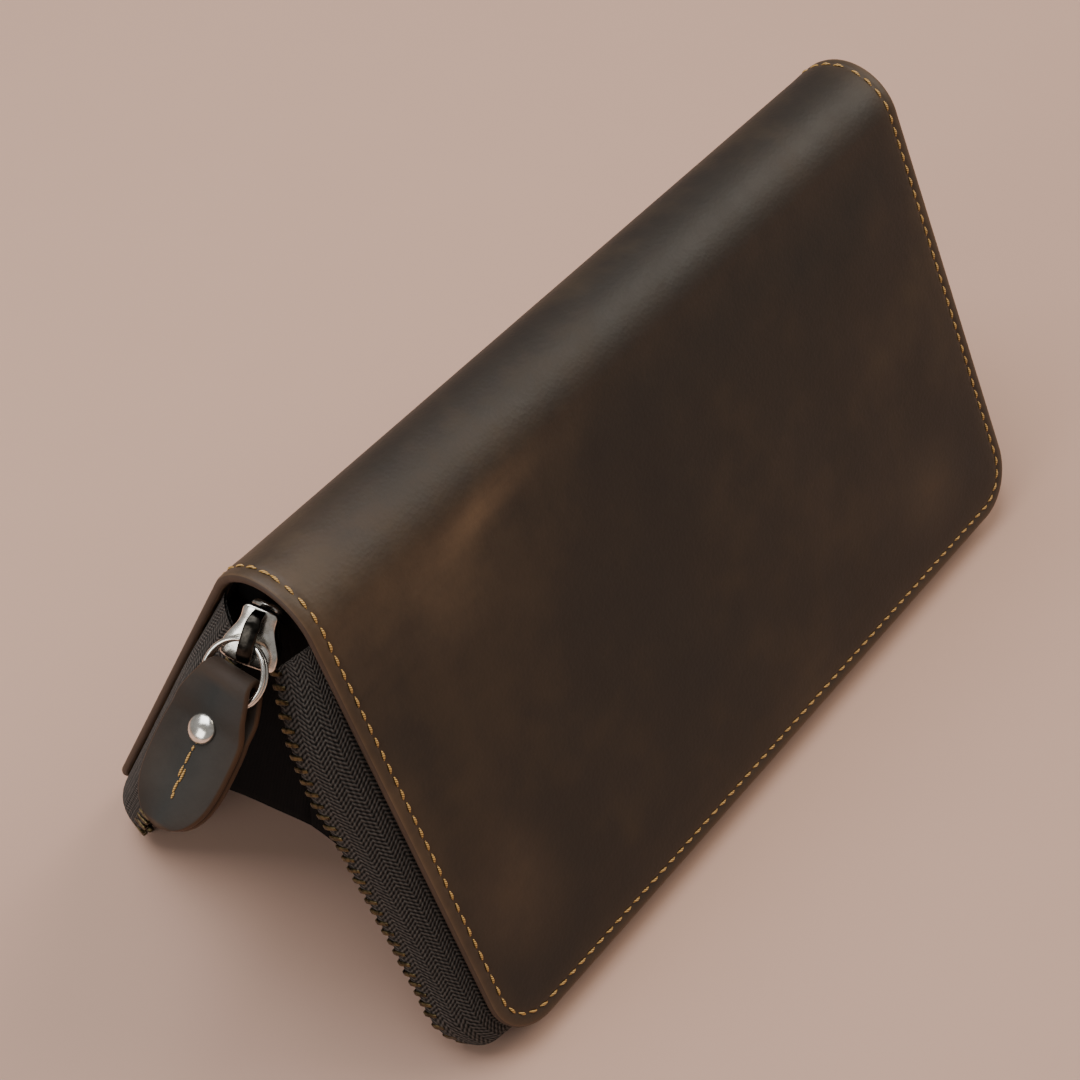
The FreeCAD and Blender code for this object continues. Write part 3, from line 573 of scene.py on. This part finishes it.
for label, side in SIDES:
    bm = bmesh.new()
    path = track(start=ARCH_RUN + TEETH_START)
    for x, run, turn, heading in along(path, TOOTH_PITCH, 0.0 if side == 1 else TOOTH_PITCH / 2):
        edge = tape_place(side, x, run, turn, 1.0)
        away = (edge - tape_place(side, x, run, turn, 0.86)).normalized()
        beyond = tape_place(side, x + 1e-4 * math.cos(heading),
                            run + 1e-4 * math.sin(heading), turn, 1.0)
        thick = away.cross((beyond - edge).normalized()).normalized()
        ahead = thick.cross(away)
        tooth(bm, lambda a, t, r: edge + ahead * a + thick * t + away * r)
    row = finish_mesh(label + "_teeth", bm, [TEETH], smooth=False)
    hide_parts(label + "_zip_teeth")
    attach(row, label + "_half")
    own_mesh(row)

# Gussets: black lining cloth between the halves at each end, its near-black colour partly painted shade,
# sagging inwards a little, with an arched free edge.  Each is cut in two at the middle, one piece a half.
GUSSET_REACH = 0.0952
GUSSET_ROWS = 26
GUSSET_COLUMNS = 14
GUSSET_THICK = 0.0004

for end, sign in (("near", -1), ("far", 1)):
    for label, side in SIDES:
        bm = bmesh.new()
        flat = bm.loops.layers.uv.new("flat")
        rows, uvs = [], []
        for i in range(GUSSET_ROWS + 1):
            row, uv = [], []
            for j in range(GUSSET_COLUMNS + 1):
                k, c = i / GUSSET_ROWS, j / GUSSET_COLUMNS
                z = -0.0010 - (0.0625 + 0.006 * c + 0.010 * c ** 2) * k
                y = (0.0104 - z * math.sin(OPEN)) / math.cos(OPEN) * c
                sag = 0.0022 * (1 - c ** 2) * math.sin(math.pi * min(1.0, k * 0.8 + 0.1))
                wave = 0.0004 * noise.noise(Vector((y * 60 * side, z * 60, 9.0 + sign)))
                row.append(AXIS + Vector((sign * (GUSSET_REACH - sag + wave), -side * y, z)))
                uv.append((side * y, z))
            rows.append(row)
            uvs.append(uv)
        skin(bm, rows, uvs, flat)
        gusset = finish_mesh(f"{end}_gusset_{label}", bm, [GUSSET])
        thick = gusset.modifiers.new("thickness", "SOLIDIFY")
        thick.thickness = GUSSET_THICK
        thick.offset = 0.0
        if side == 1:
            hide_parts(end + "_gusset")
        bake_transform(gusset)

# Slider: two bright plates on a wedge, the outer one spreading in wings to the mouth,
# with side flanges.  It leans out at the foot and is turned a little to the front, both
# about the ring's hanging place.
SWING = next(j for j in frame["joints"] if j["name"] == "ring_swing")
SWIVEL = next(j for j in frame["joints"] if j["name"] == "tab_swivel")
HANG = Vector(SWING["pos_m"])
LEAN, TWIST = math.radians(30), math.radians(19)
FOOTWARD = Vector((-math.sin(LEAN), 0, -math.cos(LEAN)))
OUTWARD = Vector((-math.cos(LEAN), 0, math.sin(LEAN))) * math.cos(TWIST)
OUTWARD -= Vector((0, math.sin(TWIST), 0))
ACROSS = OUTWARD.cross(FOOTWARD)
SEAT = HANG - OUTWARD * 0.0040 - FOOTWARD * 0.0008
PLATE_TOP = -0.0056
PLATE_FOOT = 0.0060
PLATE_ROUND = 0.0012


def on_slider(y, drop, out):
    """Place in the shared frame of a point given across, down and out from the slider's middle."""
    return SEAT + ACROSS * y + FOOTWARD * drop + OUTWARD * out


def wing(drop):
    """Half the plate's width: rounded at both ends, wider towards the mouth."""
    half = 0.0035 + 0.0021 * eased((drop + 0.0030) / 0.0065)
    near = min(1.0, min(drop - PLATE_TOP, PLATE_FOOT - drop) / PLATE_ROUND)
    return half - PLATE_ROUND * (1 - math.sqrt(max(0.0, 1 - (1 - near) ** 2)))


bm = bmesh.new()
flat = bm.loops.layers.uv.new("flat")
for inner, outer, dome in ((0.0014, 0.0024, 0.00035), (-0.0014, -0.0022, -0.0001)):
    rows = []
    for i in range(31):
        drop = PLATE_TOP + (PLATE_FOOT - PLATE_TOP) * i / 30
        half = wing(drop) * (1.0 if outer > 0 else 0.86)
        soft = 0.00022 if outer > 0 else -0.00022
        section = [(-half, inner), (-half, outer - soft), (-half + 0.0003, outer),
                   (-half * 0.5, outer + dome * 0.7), (0, outer + dome),
                   (half * 0.5, outer + dome * 0.7), (half - 0.0003, outer),
                   (half, outer - soft), (half, inner)]
        rows.append([on_slider(y, drop, out) for y, out in section])
    made = skin(bm, rows, [[(y, y) for y in range(9)]] * len(rows), flat, close=True)
    bm.faces.new(made[0])
    bm.faces.new(made[-1])
for sign in (-1, 1):
    rows = []
    for i in range(25):
        drop = -0.0044 + 0.0098 * i / 24
        half = wing(drop)
        section = [(half - 0.0009, 0.0006), (half - 0.0001, 0.0006),
                   (half - 0.0001, 0.0016), (half - 0.0009, 0.0016)]
        rows.append([on_slider(sign * y, drop, out) for y, out in section])
    made = skin(bm, rows, [[(y, y) for y in range(4)]] * len(rows), flat, close=True)
    bm.faces.new(made[0])
    bm.faces.new(made[-1])
wedge = ((-0.0010, -0.0050), (0.0010, -0.0050), (0.0006, -0.0012), (-0.0006, -0.0012))
rows = [[on_slider(y, drop, out) for y, drop in wedge] for out in (-0.0016, 0.0016)]
made = skin(bm, rows, [[(y, y) for y in range(4)]] * 2, flat, close=True)
bm.faces.new(made[0])
bm.faces.new(made[-1])
shell = finish_mesh("slider_shell", bm, [NICKEL])
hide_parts("slider_body")
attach(shell, "slider")

# Bridge: a strip bowed up along the slider, under which the ring hangs; its nickel is painted dark, a
# painted reflection.
bm = bmesh.new()
flat = bm.loops.layers.uv.new("flat")
bow = []
for i in range(33):
    a = math.pi * i / 32
    bow.append((-0.0049 * math.copysign(abs(math.cos(a)) ** 0.75, math.cos(a)),
                0.0020 + 0.0039 * math.sin(a) ** 0.55))
strap(bm, flat, bow, lambda drop: 0.0015 - 0.0003 * eased((abs(drop) - 0.003) / 0.002),
      0.0010, 0.00035, on_slider)
bridge = finish_mesh("slider_bridge", bm, [BRIDGE])
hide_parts("slider_crown")
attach(bridge, "slider")

# Pull tab: one strip of hide folded round the ring, with a rounded end and burnished
# edges; it hangs from the bridge's hollow, its width across Y.
RING = Vector(SWIVEL["pos_m"])
DOWN = (RING - HANG).normalized()
OUT = -Vector(SWIVEL["axis"]).normalized()
LAYER = 0.0017
TAB_END = 0.0380
TAB_HALF = 0.0090
NECK_HALF = 0.0052
NECK_END = 0.0060
WIDEST_DROP = 0.021
FOLD_DROP = 0.0083
FOLD_RADIUS = 0.0023
RIVET_DROP = 0.0178


def on_tab(y, drop, out):
    """Place in the shared frame of a point given across, down and out from the hanging place."""
    return HANG + Vector((0, y, 0)) + DOWN * drop + OUT * out


def tab_width(drop):
    """Half the tab's width at a distance down from the bridge: a long oval."""
    if drop < WIDEST_DROP:
        k = min(1.0, max(0.0, (drop - NECK_END) / (WIDEST_DROP - NECK_END)))
        return NECK_HALF + (TAB_HALF - NECK_HALF) * math.sin(math.pi / 2 * k)
    k = min(1.0, (drop - WIDEST_DROP) / (TAB_END - WIDEST_DROP))
    return max(0.0006, TAB_HALF * math.sqrt(max(0.0, 1 - k ** 3.4)))


def tab_gap(drop):
    """Half the space between the layers: open round the ring, shut below it."""
    return 0.00145 * (1 - eased((drop - 0.0125) / 0.005)) + 0.00003


bend = [math.pi * i / 12 - math.pi / 2 for i in range(13)]
low_drops = [FOLD_DROP + (TAB_END - FOLD_DROP) * (i / 40) ** 0.8 for i in range(1, 41)]
strip = [(d, -(tab_gap(d) + LAYER / 2)) for d in reversed(low_drops)]
strip += [(FOLD_DROP - FOLD_RADIUS * math.cos(a), FOLD_RADIUS * math.sin(a)) for a in bend]
strip += [(d, tab_gap(d) + LAYER / 2) for d in low_drops]
bm = bmesh.new()
flat = bm.loops.layers.uv.new("flat")
worn = bm.verts.layers.float.new("wear")
made = strap(bm, flat, strip, tab_width, LAYER, 0.0005, on_tab)
for (drop, out), ring in zip(strip, made):
    for i, vert in enumerate(ring):
        rim = 1.0 if i in (3, 4, 5, 6, 10, 11, 12, 13) else (0.25 if i in (0, 2, 7, 9) else 0.0)
        vert[worn] = max(rim, 0.4 if drop < 0.0085 else 0.0, 0.7 if drop > TAB_END - 0.001 else 0.0)
tab = finish_mesh("folded_tab", bm, [TAB_HIDE])
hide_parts("pull_tab")
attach(tab, "tab")

# Rivet: a bright dome a little above the tab's middle, its shank through both layers and a
# small flat foot behind.
bm = bmesh.new()
flat = bm.loops.layers.uv.new("flat")
face = tab_gap(RIVET_DROP) + LAYER
outline = [(0.0, face + 0.0017)]
outline += [(0.0030 * math.sin(a), face + 0.0002 + 0.0015 * math.cos(a))
            for a in (math.pi / 2 * i / 9 for i in range(1, 10))]
outline += [(0.0029, face), (0.0011, face), (0.0011, -face), (0.0024, -face),
            (0.0024, -face - 0.0005), (0.0020, -face - 0.0007), (0.0, -face - 0.0007)]
rows = [[on_tab(radius * math.sin(a), RIVET_DROP + radius * math.cos(a), out)
         for a in (2 * math.pi * j / 32 for j in range(32))] for radius, out in outline]
skin(bm, rows, [[(j / 32, out) for j in range(32)] for radius, out in outline], flat, close=True)
rivet = finish_mesh("tab_rivet", bm, [NICKEL], weld=1e-6)
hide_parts("tab_rivet_cap", "tab_rivet_post")
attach(rivet, "tab")

# Short decorative run of thread on the tab: a few stitches under the rivet and a knot.
bm = bmesh.new()
for drop, y, length in ((0.0218, -0.0001, 0.0010), (0.0238, 0.0000, 0.0026), (0.0266, 0.0001, 0.0024),
                        (0.0272, -0.0006, 0.0028), (0.0296, -0.0003, 0.0026), (0.0313, -0.0006, 0.0013)):
    middle = on_tab(y, drop, tab_gap(drop) + LAYER + 0.0001)
    shape = bmesh.ops.create_uvsphere(bm, u_segments=10, v_segments=8, radius=1.0)
    turned = Matrix((Vector((0, 1, 0)), OUT, DOWN)).transposed().to_4x4()
    scale = Matrix.Diagonal((0.00026, 0.00024, length / 2, 1.0))
    bmesh.ops.transform(bm, matrix=Matrix.Translation(middle) @ turned @ scale, verts=shape["verts"])
run = finish_mesh("tab_stitches", bm, [THREAD])
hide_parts("tab_thread")
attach(run, "tab")

# Pieces kept as the frame draws them, with their finishes; the ring is smooth.
KEPT = {
    "split_ring": NICKEL, "zip_end_stop": TEETH, "coin_slider": NICKEL, "coin_pull": NICKEL,
    "coin_zip_chain": COIL,
}
for name, thing in frame["nodes"].items():
    leaf = "card_leaf" in name
    thing.data.materials.clear()
    thing.data.materials.append(KEPT.get(name, INNER if leaf else LINING))
    for face in thing.data.polygons:
        face.use_smooth = name == "split_ring"

# Floor and light: a plain pale sweep, one broad soft light above, one past the far end
# whose gleam lies along the spine, and a low weak one that the slider's plates mirror.
bm = bmesh.new()
bmesh.ops.create_grid(bm, x_segments=1, y_segments=1, size=3.0)
floor = finish_mesh("floor", bm, [], smooth=False)
paint = Finish("pale_floor")
speck = paint.noise(paint.add("TexCoord").outputs["Object"], 40.0)
paint.set(Base_Color=paint.ramp(speck, (0.0, "#C8A594"), (1.0, "#CAA796")), Roughness=0.95)
paint.set(Specular_IOR_Level=0.1)
floor.data.materials.append(paint.material)


def lamp(name, place, size, power, tint):
    """A soft rectangular light aimed at the middle of the wallet."""
    data = bpy.data.lights.new(name, "AREA")
    data.shape = "RECTANGLE"
    data.size, data.size_y = size
    data.energy = power
    data.color = colour(tint)[:3]
    thing = bpy.data.objects.new(name, data)
    bpy.context.scene.collection.objects.link(thing)
    look = (Vector((0.0, 0.0, 0.05)) - Vector(place)).to_track_quat("-Z", "Y").to_matrix().to_4x4()
    look.translation = Vector(place)
    thing.matrix_world = look


lamp("key", (-0.15, 0.35, 1.10), (0.9, 0.9), 11.0, "#FFFFFF")
lamp("spine_light", (0.95, -0.40, 1.05), (0.9, 0.9), 12.0, "#FFF4E4")
lamp("slider_light", (-0.95, 0.10, 0.42), (0.5, 0.5), 3.0, "#FFFDF8")
world = bpy.data.worlds.new("studio")
bpy.context.scene.world = world
world.use_nodes = True
world.node_tree.nodes["Background"].inputs["Color"].default_value = colour("#D8D4D0")
world.node_tree.nodes["Background"].inputs["Strength"].default_value = 0.40
